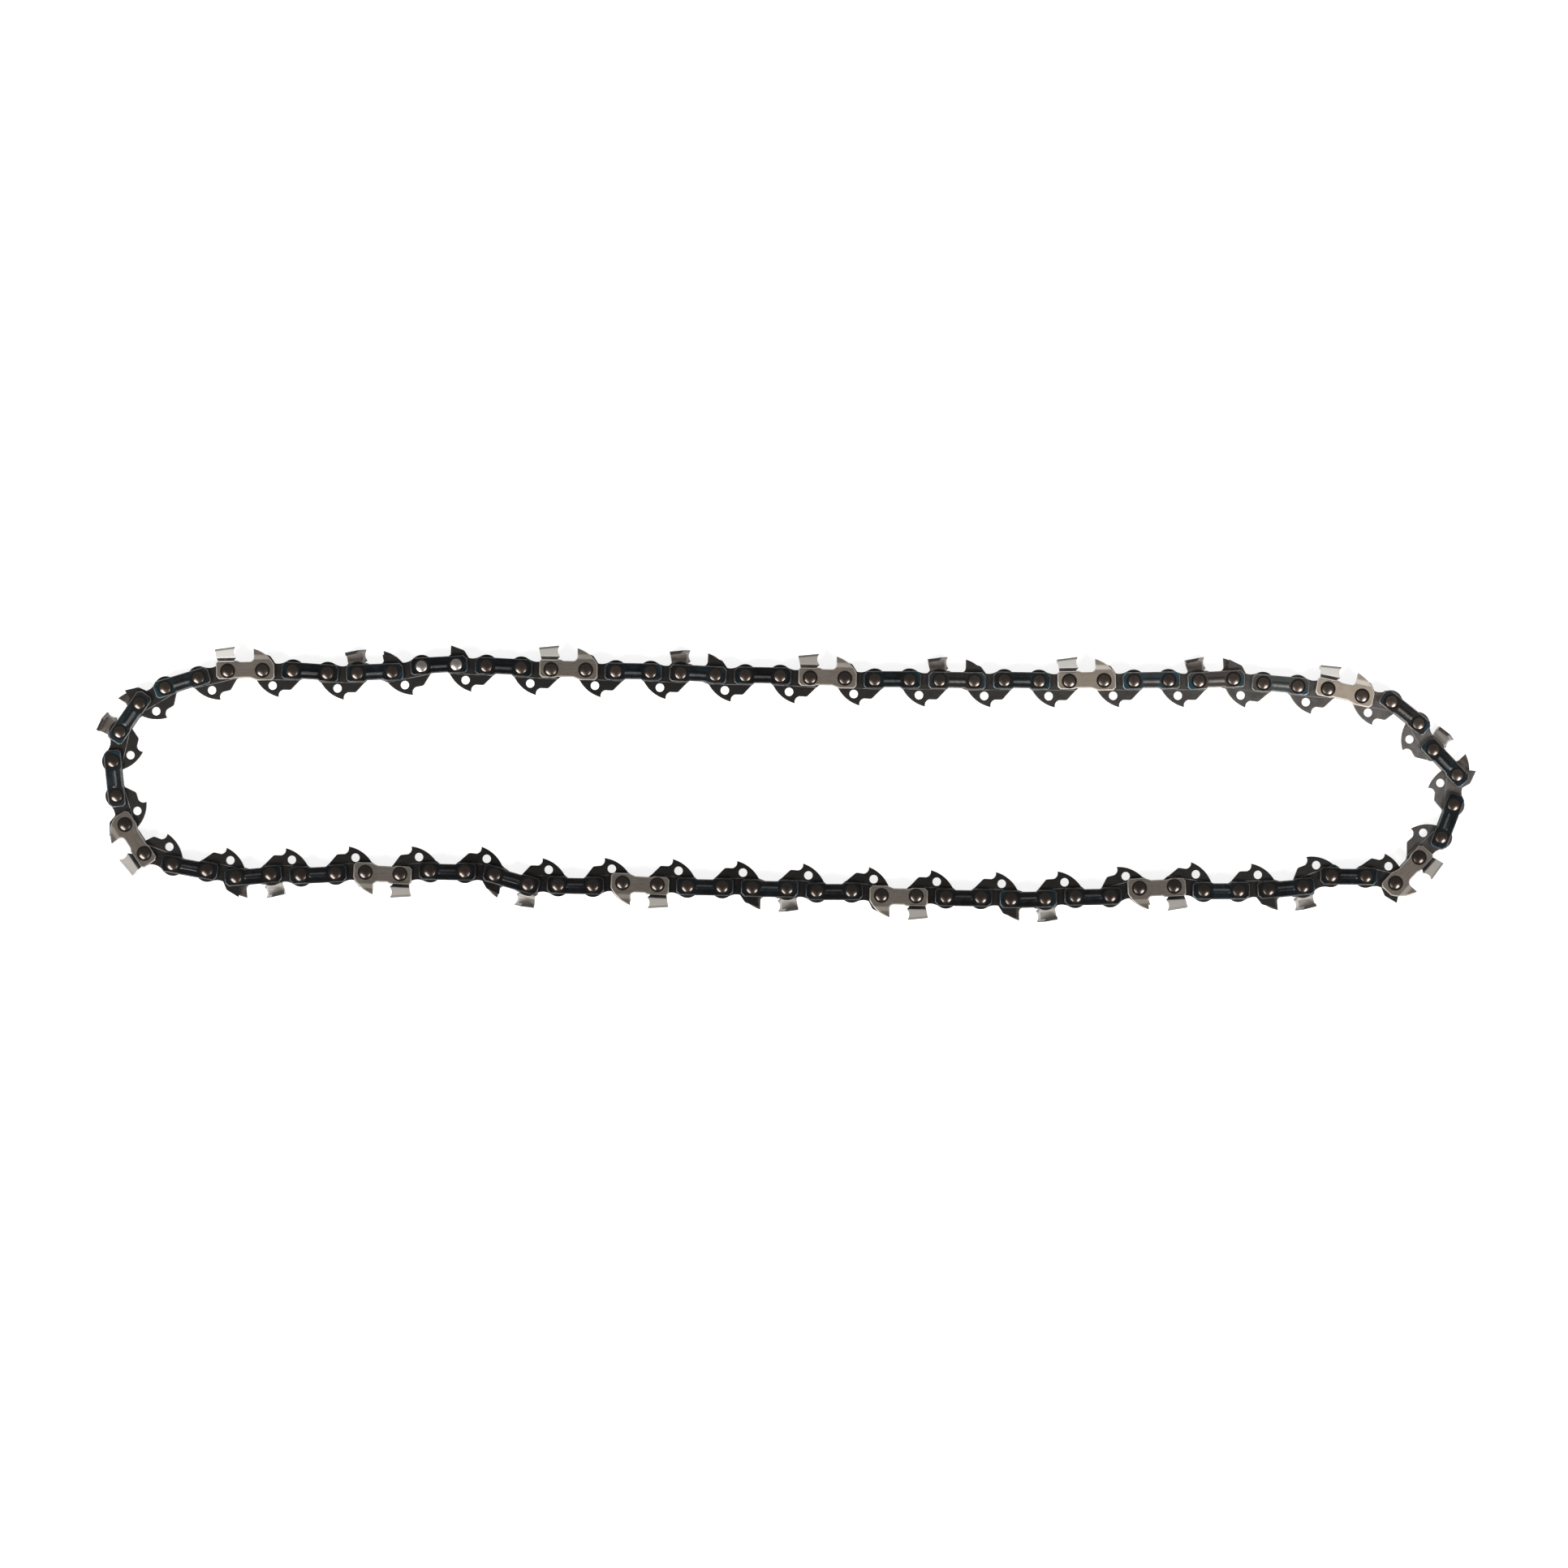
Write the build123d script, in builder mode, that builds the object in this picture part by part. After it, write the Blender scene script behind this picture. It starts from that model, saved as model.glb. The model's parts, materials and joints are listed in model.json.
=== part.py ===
from build123d import *
import os
from math import radians, sqrt, tan

import numpy as np

# A closed loop of low-profile saw chain, lying on its left side. Millimetres, +Z up.
# In every link x runs forward, the way the chain cuts, y outward from the loop, z to its right side.

# Pitch and widths shared by all links
outer_pitch = 10.22  # rivet to rivet in a cutter or tie strap
drive_pitch = 8.83  # rivet to rivet in a drive link
gauge = 1.1  # drive link thickness, which runs in the bar's groove
plate = 1.15  # thickness of a tie strap or cutter
side_gap = 0.06  # running gap between a drive link and each plate beside it
kerf = 6.2  # width over the outer corners of right and left cutters

# Rivet
hub_diameter = 3.9  # shoulder that the drive link turns on
shank_diameter = 3.1  # peened into the plates
pivot_gap = 0.05  # radial running gap between hub and drive link
head_diameter = 4.4
head_height = 0.6
head_bevel = 0.42

# Drive link
eye_radius = 3.45
eye_waist_angle = 60  # where the top edge leaves the eye, above the rivet line
eye_tang_angle = 58  # where the tang leaves the eye, below the rivet line
waist_height = 2.1  # top edge midway between the eyes
tang_depth = 7.75  # rivet line to the tang's tip
tang_tip = 0.3  # tip ahead of the middle
tang_belly = 0.85  # bulge of the tang's trailing edge
sole_depth = 5.6  # rivet line to the flat ahead of the tip
sole_rear = 1.5
sole_front = 3.8
sole_round = 0.9
scoop = 0.5  # hollow of the tang's leading edge
oil_hole_diameter = 2.5
oil_hole_x = -1.55
oil_hole_depth = 4.4
fin_setting = 0.8  # bumper's tip below the depth gauge's
fin_rear = 1.9  # bumper's upright edge, behind the rear rivet
fin_crown_reach = 2.0  # where the bumper's top turns down, ahead of the rear rivet
fin_crown_height = 4.35
fin_toe_reach = 3.5
fin_toe_height = 2.2
fin_round = 1.2

# Tie strap
strap_reach = 3.35  # rivet to the square end
strap_top = 2.6  # rivet line to the top edge
strap_shoulder = 1.1  # cut across the upper corners
strap_foot = 2.55  # rivet line to the bottom edge at the ends
strap_waist = 2.1  # rivet line to the bottom edge at the middle
strap_chamfer = 0.8  # cut across the lower corners
foot_inner = 2.0  # rivet to the inner end of the foot
waist_slope = 0.9
rib_length = 5.6
rib_width = 1.8
rib_rise = 0.15

# Cutter plate, with places given from its rear and front rivets
tail_reach = 3.45
tail_top = 2.3
tail_foot = 2.4
nose_reach = 3.5
nose_top = 1.5
nose_foot = 2.95
cutter_chamfer = 0.85
flare_root = 3.0  # rivet line to the bend where the cutting part leaves the plate
gullet_height = 2.6
gullet_round = 1.3
gullet_ramp = 0.5  # rise from the gullet to the cutting part
gauge_setting = 0.7  # depth gauge's tip below the cutting corner
gauge_tip = 2.5  # tip behind the front rivet
gauge_belly = 0.85

# Cutting part, from the rear rivet
tooth_rear = 3.6
tooth_front = 3.2
tooth_height = 7.1  # rivet line to the top plate at the cutting corner
tooth_drop = 0.65  # fall of the top plate from front to rear
tooth_lean = 0.22  # slope of the rear edge
tooth_inset = 0.25  # narrowing of the side plate from front to rear
shoulder_height = 3.85  # where the side plate stands upright again
top_plate = 1.0
top_overhang = 0.9  # reach of the top plate past the centre plane
top_tilt = 0.25
corner_radius = 0.6
filing_angle = 28
hook = 0.12  # forward lean of the front edge
file_radius = 2.4  # round file that hollows the front edge
file_depth = 0.65

# Lie of the loop: heading of each outer link and of the drive link ahead of it, in degrees,
# clockwise from the upper left.
upper_run = [(1, -1), (-4, 0), (2, 11), (3, -3), (-3, -3), (-1, -3), (-1, -2), (-3, -1), (-1, -3),
             (-1, -3), (0, -1), (-1, 1), (-1, 0), (1, -1), (1, -1), (3, -8), (-5, -5), (-12, -11)]
right_bend = [(-39, -61), (-47, -97), (-111, -138), (-133, 167)]
lower_run = [(179, -159), (-175, -178), (180, 172), (-177, -165), (-179, -176), (-179, 177),
             (179, 178), (179, 172), (180, 175), (179, 178), (179, 177), (177, -175), (179, 179),
             (164, 174), (179, -174), (177, -178), (-177, 178), (-175, 167), (170, 159)]
left_bend = [(124, 107), (96, 77), (56, 31), (17, 13)]

closing_steps = 8  # passes that close the loop exactly

# Order of the outer links: one joining link, and cutters that take turns with tie straps
opening_kinds = ["right_cutter", "tie_straps", "left_cutter", "joining_straps"]
repeat_kinds = ["tie_straps", "right_cutter", "tie_straps", "left_cutter"]

# Links that fold together: an upper and a lower outer link that always stay parallel
upper_folds = [*range(3, 16)]
lower_folds = [*range(38, 35, -1), *range(34, 24, -1)]

plate_inner = gauge / 2 + side_gap
plate_outer = plate_inner + plate
half_outer = outer_pitch / 2
half_drive = drive_pitch / 2
gauge_height = tooth_height - gauge_setting
fin_height = gauge_height - fin_setting
strap_end = half_outer + strap_reach
flat = Plane.XY

# Rivet: a hub, two shanks and two bevelled heads turned as one
head_top = plate_outer + head_height
with BuildPart() as rivet:
    with BuildSketch(Plane.XZ):
        with BuildLine():
            Polyline(
                (0, -head_top),
                (head_diameter / 2 - head_bevel, -head_top),
                (head_diameter / 2, -head_top + head_bevel),
                (head_diameter / 2, -plate_outer),
                (shank_diameter / 2, -plate_outer),
                (shank_diameter / 2, -plate_inner),
                (hub_diameter / 2, -plate_inner),
                (hub_diameter / 2, plate_inner),
                (shank_diameter / 2, plate_inner),
                (shank_diameter / 2, plate_outer),
                (head_diameter / 2, plate_outer),
                (head_diameter / 2, head_top - head_bevel),
                (head_diameter / 2 - head_bevel, head_top),
                (0, head_top),
                close=True,
            )
        make_face()
    revolve(axis=Axis.Z)


# Drive link: two eyes, a tang with an oil hole, and on every second one a bumper fin
eye_arc = 180 - eye_waist_angle + eye_tang_angle


def make_drive_link(bumper):
    with BuildPart() as link:
        with BuildSketch(flat):
            with BuildLine():
                rear_eye = CenterArc((-half_drive, 0), eye_radius, eye_waist_angle, eye_arc)
                front_eye = CenterArc((half_drive, 0), eye_radius, -eye_tang_angle, eye_arc)
                back = SagittaArc(rear_eye @ 1, (tang_tip, -tang_depth), -tang_belly)
                hollow = SagittaArc(back @ 1, (sole_rear, -sole_depth), scoop)
                FilletPolyline(hollow @ 1, (sole_front, -sole_depth), front_eye @ 0, radius=sole_round)
                ThreePointArc(front_eye @ 1, (0, waist_height), rear_eye @ 0)
            make_face()
            if bumper:
                fin_x = -half_drive - fin_rear
                with BuildLine():
                    FilletPolyline(
                        (fin_x, fin_height),
                        (fin_crown_reach - half_drive, fin_crown_height),
                        (fin_toe_reach - half_drive, fin_toe_height),
                        radius=fin_round,
                    )
                    Polyline(
                        (fin_toe_reach - half_drive, fin_toe_height),
                        (fin_toe_reach - half_drive, 0),
                        (fin_x, 0),
                        (fin_x, fin_height),
                    )
                make_face()
            with Locations((-half_drive, 0), (half_drive, 0)):
                Circle(hub_diameter / 2 + pivot_gap, mode=Mode.SUBTRACT)
            with Locations((oil_hole_x, -oil_hole_depth)):
                Circle(oil_hole_diameter / 2, mode=Mode.SUBTRACT)
        extrude(amount=gauge / 2, both=True)
    return link.part


# Tie strap on the right side: a bar cut across its corners, waisted below and ribbed between the rivets
with BuildPart() as strap:
    with BuildSketch(flat.offset(plate_inner)):
        with BuildLine():
            Polyline(
                (0, strap_top),
                (strap_end - strap_shoulder, strap_top),
                (strap_end, strap_top - strap_shoulder),
                (strap_end, strap_chamfer - strap_foot),
                (strap_end - strap_chamfer, -strap_foot),
                (half_outer - foot_inner, -strap_foot),
                (half_outer - foot_inner - waist_slope, -strap_waist),
                (0, -strap_waist),
            )
            mirror(about=Plane.YZ)
        make_face()
        with Locations((-half_outer, 0), (half_outer, 0)):
            Circle(shank_diameter / 2, mode=Mode.SUBTRACT)
    extrude(amount=plate)
    with BuildSketch(flat.offset(plate_outer)):
        Rectangle(rib_length, rib_width)
    extrude(amount=rib_rise)

# Cutting part of a right cutter: a side plate that flares out and a top plate that folds inward
flare_outer = kerf / 2
tooth_back = -half_outer - tooth_rear
tooth_face = -half_outer + tooth_front


def tooth_section(x, drop, inset):
    with BuildSketch(Plane(origin=(x, 0, 0), x_dir=(0, 1, 0), z_dir=(1, 0, 0))) as section:
        with BuildLine():
            Polyline(
                (flare_root - plate / 2, plate_inner),
                (flare_root - plate / 2, plate_outer),
                (flare_root, plate_outer),
                (shoulder_height, flare_outer - inset),
                (tooth_height - drop, flare_outer - inset),
                (tooth_height - drop - top_tilt, -top_overhang),
                (tooth_height - drop - top_tilt - top_plate, -top_overhang),
                (tooth_height - drop - top_plate, flare_outer - inset - plate),
                (shoulder_height + plate / 2, flare_outer - inset - plate),
                (flare_root + plate / 2, plate_inner),
                close=True,
            )
        make_face()
        corner = section.vertices().group_by(Axis.Y)[-1].sort_by(Axis.X)[-1]
        fillet(corner, radius=corner_radius)
    return section.sketch


filing_slope = tan(radians(filing_angle))
rear_edge = Plane(origin=(tooth_back, tooth_height - tooth_drop, 0), z_dir=(-1, -tooth_lean, 0))
front_edge = Plane(origin=(tooth_face, tooth_height, flare_outer), z_dir=(1, -hook, -filing_slope))
file_centre_y = tooth_height - sqrt(file_radius**2 - (file_radius - file_depth) ** 2)
file_centre_x = tooth_face - hook * (tooth_height - file_centre_y) + file_radius - file_depth
file_line = Plane(origin=(file_centre_x, file_centre_y, flare_outer), z_dir=(filing_slope, 0, 1))
with BuildPart() as tooth:
    add(tooth_section(tooth_back, tooth_drop, tooth_inset))
    add(tooth_section(tooth_face, 0, 0))
    loft()
    split(bisect_by=rear_edge, keep=Keep.BOTTOM)
    split(bisect_by=front_edge, keep=Keep.BOTTOM)
    with BuildSketch(file_line):
        Circle(file_radius)
    extrude(amount=kerf, both=True, mode=Mode.SUBTRACT)

# Right cutter: a riveted plate with its depth gauge ahead of the cutting part
with BuildPart() as right_cutter:
    with BuildSketch(flat.offset(plate_inner)):
        with BuildLine():
            gauge_back = SagittaArc(
                (half_outer + nose_reach, nose_top), (half_outer - gauge_tip, gauge_height), -gauge_belly
            )
            gullet = FilletPolyline(
                gauge_back @ 1,
                (half_outer - gauge_tip, gullet_height),
                (tooth_face + gullet_ramp, gullet_height),
                radius=gullet_round,
            )
            Polyline(
                gullet @ 1,
                (tooth_face - hook * (tooth_height - flare_root), flare_root),
                (tooth_back + tooth_lean * (tooth_height - tooth_drop - flare_root), flare_root),
                (-half_outer - tail_reach, tail_top),
                (-half_outer - tail_reach, cutter_chamfer - tail_foot),
                (-half_outer - tail_reach + cutter_chamfer, -tail_foot),
                (-half_outer + foot_inner - waist_slope, -tail_foot),
                (-half_outer + foot_inner, -strap_waist),
                (half_outer - foot_inner - 2 * waist_slope, -strap_waist),
                (half_outer - foot_inner + waist_slope / 2, -nose_foot),
                (half_outer + nose_reach - cutter_chamfer, -nose_foot),
                (half_outer + nose_reach, cutter_chamfer - nose_foot),
                gauge_back @ 0,
            )
        make_face()
        with Locations((-half_outer, 0), (half_outer, 0)):
            Circle(shank_diameter / 2, mode=Mode.SUBTRACT)
    extrude(amount=plate)
    add(tooth.part)

left_cutter = mirror(right_cutter.part, about=flat)
far_strap = mirror(strap.part, about=flat)
drive_link = make_drive_link(bumper=False)
bumper_link = make_drive_link(bumper=True)

# Settle the loop: links that fold together share one heading, and the others close the gap
lie = np.array(upper_run + right_bend + lower_run + left_bend, dtype=float)
outer_count = len(lie)
kinds = [
    opening_kinds[k] if k < len(opening_kinds) else repeat_kinds[k % len(repeat_kinds)]
    for k in range(outer_count)
]
headings = np.radians(lie.ravel())
lengths = np.tile([outer_pitch, drive_pitch], outer_count)
headings[[2 * k for k in lower_folds]] = headings[[2 * k for k in upper_folds]] + np.pi
loose = [i for i in range(2 * outer_count) if i // 2 not in upper_folds + lower_folds or i % 2]
for step in range(closing_steps):
    ends = lengths * np.array([np.cos(headings), np.sin(headings)])
    swing = np.array([-ends[1], ends[0]])[:, loose]
    headings[loose] -= np.linalg.pinv(swing) @ ends.sum(axis=1)
spans = lengths[:, None] * np.column_stack([np.cos(headings), np.sin(headings)])
rivets = np.vstack([[0, 0], np.cumsum(spans, axis=0)[:-1]])


# Pieces of one link, in place about the first rivet of the loop
def link_place(i):
    x, y = rivets[i] + spans[i] / 2
    return Location((x, y, 0), (0, 0, np.degrees(headings[i])))


def outer_plates(k):
    near = right_cutter.part if kinds[k] == "right_cutter" else strap.part
    far = left_cutter if kinds[k] == "left_cutter" else far_strap
    return [near.moved(link_place(2 * k)), far.moved(link_place(2 * k))]


def outer_rivets(k):
    return [rivet.part.moved(link_place(2 * k) * Location((x, 0, 0))) for x in (-half_outer, half_outer)]


def drive_piece(k):
    has_bumper = kinds[k] != "tie_straps"
    return (bumper_link if has_bumper else drive_link).moved(link_place(2 * k + 1))


# Nodes: each folding link by itself, and each bend's links sorted by kind
nodes = {}
folds = upper_folds + lower_folds
for k in folds:
    nodes[f"link_{k + 1:02d}_{kinds[k]}"] = outer_plates(k) + outer_rivets(k)
for run in (upper_folds, sorted(lower_folds)):
    for k, after in zip(run, run[1:]):
        carried = [drive_piece(k)]
        for between in range(k + 1, after):
            carried += outer_plates(between) + outer_rivets(between) + [drive_piece(between)]
        drive_kind = "drive_link" if kinds[k] == "tie_straps" else "bumper_drive_link"
        nodes[f"link_{k + 1:02d}_{drive_kind}"] = carried
bends = {
    "right_bend": range(max(upper_folds), min(lower_folds)),
    "left_bend": [*range(max(lower_folds), outer_count), *range(min(upper_folds))],
}
for bend, span in bends.items():
    nodes[f"{bend}_drive_links"] = [drive_piece(k) for k in span]
    plates = [(kinds[k], outer_plates(k)) for k in span if k not in folds]
    nodes[f"{bend}_right_cutters"] = [pair[0] for kind, pair in plates if kind == "right_cutter"]
    nodes[f"{bend}_left_cutters"] = [pair[1] for kind, pair in plates if kind == "left_cutter"]
    nodes[f"{bend}_tie_straps"] = [
        piece
        for kind, pair in plates
        for piece, cutter in zip(pair, ("right_cutter", "left_cutter"))
        if kind != cutter
    ]
    nodes[f"{bend}_rivets"] = [piece for k in span if k not in folds for piece in outer_rivets(k)]

# Rest the loop on the ground with its middle at the origin, and write each node
whole = Compound([piece for pieces in nodes.values() for piece in pieces]).bounding_box()
centre = Location((-whole.center().X, -whole.center().Y, -whole.min.Z))
os.makedirs("parts", exist_ok=True)
for name, pieces in nodes.items():
    node = Compound(label=name, children=[piece.moved(centre) for piece in pieces])
    export_step(node, f"parts/{name}.step")
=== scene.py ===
import json
import math

import bpy
import numpy as np
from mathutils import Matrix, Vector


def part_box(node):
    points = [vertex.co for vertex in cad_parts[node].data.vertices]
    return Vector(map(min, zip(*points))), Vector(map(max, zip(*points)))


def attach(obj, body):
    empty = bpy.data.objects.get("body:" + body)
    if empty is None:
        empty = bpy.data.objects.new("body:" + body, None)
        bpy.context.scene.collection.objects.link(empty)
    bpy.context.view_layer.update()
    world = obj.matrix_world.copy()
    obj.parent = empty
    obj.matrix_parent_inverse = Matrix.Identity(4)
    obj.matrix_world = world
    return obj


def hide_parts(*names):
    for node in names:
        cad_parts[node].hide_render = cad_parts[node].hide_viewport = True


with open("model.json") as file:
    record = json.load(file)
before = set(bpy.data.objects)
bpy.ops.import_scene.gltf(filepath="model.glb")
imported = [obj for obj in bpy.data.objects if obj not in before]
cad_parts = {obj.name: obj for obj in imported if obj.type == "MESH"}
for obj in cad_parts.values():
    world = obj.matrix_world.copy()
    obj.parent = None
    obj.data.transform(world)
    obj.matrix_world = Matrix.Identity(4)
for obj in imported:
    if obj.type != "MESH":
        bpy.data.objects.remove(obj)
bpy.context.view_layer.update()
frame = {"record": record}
scene = bpy.context.scene
scene.view_settings.view_transform = "Standard"
chance = np.random.default_rng(11)

# Shapes below are in millimetres. In every link x runs forward, y outward from the loop, z to its right side.
metre = 1000
loop = {
    "outerPitch": 10.22,
    "drivePitch": 8.83,
    "gauge": 1.1,
    "plate": 1.15,
    "sideGap": 0.06,
    "kerf": 6.2,
    # heading of each outer link and of the drive link ahead of it, clockwise from the upper left
    "upperRun": [(1, -1), (-4, 0), (2, 11), (3, -3), (-3, -3), (-1, -3), (-1, -2), (-3, -1), (-1, -3),
                 (-1, -3), (0, -1), (-1, 1), (-1, 0), (1, -1), (1, -1), (3, -8), (-5, -5), (-12, -11)],
    "rightBend": [(-39, -61), (-47, -97), (-111, -138), (-133, 167)],
    "lowerRun": [(179, -159), (-175, -178), (180, 172), (-177, -165), (-179, -176), (-179, 177),
                 (179, 178), (179, 172), (180, 175), (179, 178), (179, 177), (177, -175), (179, 179),
                 (164, 174), (179, -174), (177, -178), (-177, 178), (-175, 167), (170, 159)],
    "leftBend": [(124, 107), (96, 77), (56, 31), (17, 13)],
    "openingKinds": ["right_cutter", "tie_straps", "left_cutter", "joining_straps"],
    "repeatKinds": ["tie_straps", "right_cutter", "tie_straps", "left_cutter"],
    "upperFolds": [*range(3, 16)],
    "lowerFolds": [*range(38, 35, -1), *range(34, 24, -1)],
    "closingSteps": 8,
}
halfOuter = loop["outerPitch"] / 2
halfDrive = loop["drivePitch"] / 2
plateInner = loop["gauge"] / 2 + loop["sideGap"]
plateOuter = plateInner + loop["plate"]
flareOuter = loop["kerf"] / 2

# Headings settle as in the solid model: paired folds share one heading, and the others close the loop
lie = np.array(loop["upperRun"] + loop["rightBend"] + loop["lowerRun"] + loop["leftBend"], dtype=float)
linkCount = len(lie)
folds = loop["upperFolds"] + loop["lowerFolds"]
headings = np.radians(lie.ravel())
lengths = np.tile([loop["outerPitch"], loop["drivePitch"]], linkCount)
upperIndex = [2 * k for k in loop["upperFolds"]]
lowerIndex = [2 * k for k in loop["lowerFolds"]]
headings[lowerIndex] = headings[upperIndex] + np.pi
free = [i for i in range(2 * linkCount) if i // 2 not in folds or i % 2]
for step in range(loop["closingSteps"]):
    ends = lengths * np.array([np.cos(headings), np.sin(headings)])
    swing = np.array([-ends[1], ends[0]])[:, free]
    headings[free] -= np.linalg.pinv(swing) @ ends.sum(axis=1)
spans = lengths[:, None] * np.column_stack([np.cos(headings), np.sin(headings)])
rivetPlaces = np.vstack([[0, 0], np.cumsum(spans, axis=0)[:-1]])

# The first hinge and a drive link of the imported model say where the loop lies
behaviour = frame["record"]["behaviour"]
hinges = {joint["name"]: joint for joint in behaviour["joints"]}
firstRivet = upperIndex[0]
firstHinge = hinges[f"rivet_{firstRivet + 1:02d}_hinge"]
rivetPlaces += metre * np.array(firstHinge["pos_m"][:2]) - rivetPlaces[firstRivet]
linkMiddles = rivetPlaces + spans / 2
lowDrive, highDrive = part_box("link_05_drive_link")
midHeight = metre * (lowDrive.z + highDrive.z) / 2
bodyOfNode = {node: body for body, nodes in behaviour["bodies"].items() for node in nodes}
repeating = loop["repeatKinds"] * linkCount
kinds = loop["openingKinds"] + repeating[len(loop["openingKinds"]):linkCount]
print("loop:", linkCount, "outer links,", linkCount, "drive links")


# Share of the way from a start, held between 0 and 1, with a negative distance for a share that falls
def rampShare(value, start, distance):
    return np.clip((value - start) / distance, 0, 1)


# Point = centre + radius times the cosine and sine of an angle that runs from start through sweep
def arcRun(centre, radius, start, sweep, count):
    angle = np.radians(start + sweep * np.linspace(0, 1, count))
    return np.column_stack([centre[0] + radius * np.cos(angle), centre[1] + radius * np.sin(angle)])


# Straight chord pushed to its left by bow times 4t(1 - t), a shallow even curve
def bowRun(first, last, bow, count):
    t = np.linspace(0, 1, count)[:, None]
    chord = np.subtract(last, first)
    left = np.array([-chord[1], chord[0]]) / np.hypot(*chord)
    return np.asarray(first) + chord * t + left * bow * 4 * t * (1 - t)


# Arc of one radius that touches both straight runs that meet at a corner
def cornerRun(before, corner, after, radius, count):
    corner = np.asarray(corner, float)
    back = np.subtract(before, corner) / np.linalg.norm(np.subtract(before, corner))
    on = np.subtract(after, corner) / np.linalg.norm(np.subtract(after, corner))
    half = np.arccos(np.clip(back @ on, -1, 1)) / 2
    centre = corner + (back + on) / np.linalg.norm(back + on) * radius / np.sin(half)
    first = corner + back * radius / np.tan(half) - centre
    last = corner + on * radius / np.tan(half) - centre
    start = np.degrees(np.arctan2(first[1], first[0]))
    sweep = (np.degrees(np.arctan2(last[1], last[0])) - start + 180) % 360 - 180
    return arcRun(centre, radius, start, sweep, count)


outlineLimits = {
    "samePoint": 0.001,
    "leastMitre": 0.6,
    "tipAngle": 80,
    "tipNarrowing": 0.35,
    "tipLeast": 0.08,
}


# Runs laid end to end as one closed outline, without doubled points
def closeRuns(*runs):
    points = np.vstack([np.atleast_2d(run) for run in runs])
    apart = np.linalg.norm(points - np.roll(points, 1, axis=0), axis=1) > outlineLimits["samePoint"]
    return points[apart]


# Outline moved inwards by a distance along the mitre of its two edges at each point
def insetRing(outline, distance):
    edge = np.roll(outline, -1, axis=0) - outline
    edge /= np.linalg.norm(edge, axis=1, keepdims=True)
    normal = np.column_stack([edge[:, 1], -edge[:, 0]])
    mitre = normal + np.roll(normal, 1, axis=0)
    mitre /= np.linalg.norm(mitre, axis=1, keepdims=True)
    stretch = 1 / np.clip(np.sum(mitre * normal, axis=1, keepdims=True), outlineLimits["leastMitre"], 1)
    return outline - mitre * stretch * distance


# Share of a rim's full inset at each point: it narrows evenly towards a sharp tip, where both sides meet
def tipShare(outline, rim, limits=outlineLimits):
    back = np.roll(outline, 1, axis=0) - outline
    on = np.roll(outline, -1, axis=0) - outline
    cosine = np.sum(back * on, axis=1) / (np.linalg.norm(back, axis=1) * np.linalg.norm(on, axis=1))
    tips = outline[cosine > math.cos(math.radians(limits["tipAngle"]))]
    share = np.ones((len(outline), 1))
    if len(tips):
        away = np.linalg.norm(outline[:, None] - tips[None], axis=2).min(axis=1, keepdims=True)
        share = np.clip(limits["tipNarrowing"] * away / rim, limits["tipLeast"], 1)
    return share


# Quads between neighbouring rings of a grid, rows by count, each ring closed on itself
def ringQuads(rows, count, closed=False):
    last = rows if closed else rows - 1
    i, j = np.meshgrid(np.arange(last), np.arange(count), indexing="ij")
    up, side = (i + 1) % rows, (j + 1) % count
    corners = [i * count + j, up * count + j, up * count + side, i * count + side]
    return np.stack(corners, axis=-1).reshape(-1, 4)


# Quads of a closed band, count rings long: each ring is an outer line and then an inner line run backwards
def bandQuads(count, rows):
    outer = np.arange(rows // 2 - 1)
    inner = rows - 1 - outer
    lip = np.stack([outer, outer + 1, inner - 1, inner], axis=-1)
    return np.vstack([ringQuads(count, rows), lip, (count - 1) * rows + lip[:, ::-1]])


# A shape holds its points, quads, many-sided caps, its wear and painted light at each point, and how dark
# each point is, which is mostly painted shade
def makeShape(points, quads, caps=(), wearAndPaintedLight=None, dark=None):
    count = len(points)
    return {
        "points": np.asarray(points, float),
        "quads": np.asarray(quads, int),
        "caps": [np.asarray(cap, int) for cap in caps],
        "wearAndPaintedLight": np.zeros(count) if wearAndPaintedLight is None else np.asarray(wearAndPaintedLight, float),
        "dark": np.zeros(count) if dark is None else np.asarray(dark, float),
    }


# Several shapes as one
def joinShapes(*shapes):
    starts = np.cumsum([0] + [len(s["points"]) for s in shapes])
    return makeShape(
        np.vstack([s["points"] for s in shapes]),
        np.vstack([s["quads"] + n for s, n in zip(shapes, starts)]),
        [cap + n for s, n in zip(shapes, starts) for cap in s["caps"]],
        np.concatenate([s["wearAndPaintedLight"] for s in shapes]),
        np.concatenate([s["dark"] for s in shapes]),
    )


# Mirror image through the chain's middle plane, with its faces turned the right way round again
def mirrorShape(shape):
    return makeShape(
        shape["points"] * [1, 1, -1],
        shape["quads"][:, ::-1],
        [cap[::-1] for cap in shape["caps"]],
        shape["wearAndPaintedLight"],
        shape["dark"],
    )


# Rounded edge of a stamped plate, in shares of its size: each ring's inset, its depth and its wear
edgeRings = [(1, 0, 0.55), (0.42, 0.2, 1), (0.1, 0.55, 0.9), (0, 1, 0.4)]


# Rim of an upper face: insets of the outline, first by the rim's width and then round the edge, each with
# its height and its wear
def rimLayers(outline, top, edge, rim):
    share = tipShare(outline, rim)
    rings = [(rim, 0, 0)]
    rings += [(edge * inset, edge * depth, wearAndPaintedLight) for inset, depth, wearAndPaintedLight in edgeRings]
    return [(insetRing(outline, inset * share), top - depth, wearAndPaintedLight) for inset, depth, wearAndPaintedLight in rings]


# Points and wear of a stack of rings, each with its height and its wear
def stackRings(layers):
    rings, heights, wears = zip(*layers)
    count = len(rings[0])
    return np.column_stack([np.vstack(rings), np.repeat(heights, count)]), np.repeat(wears, count)


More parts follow.
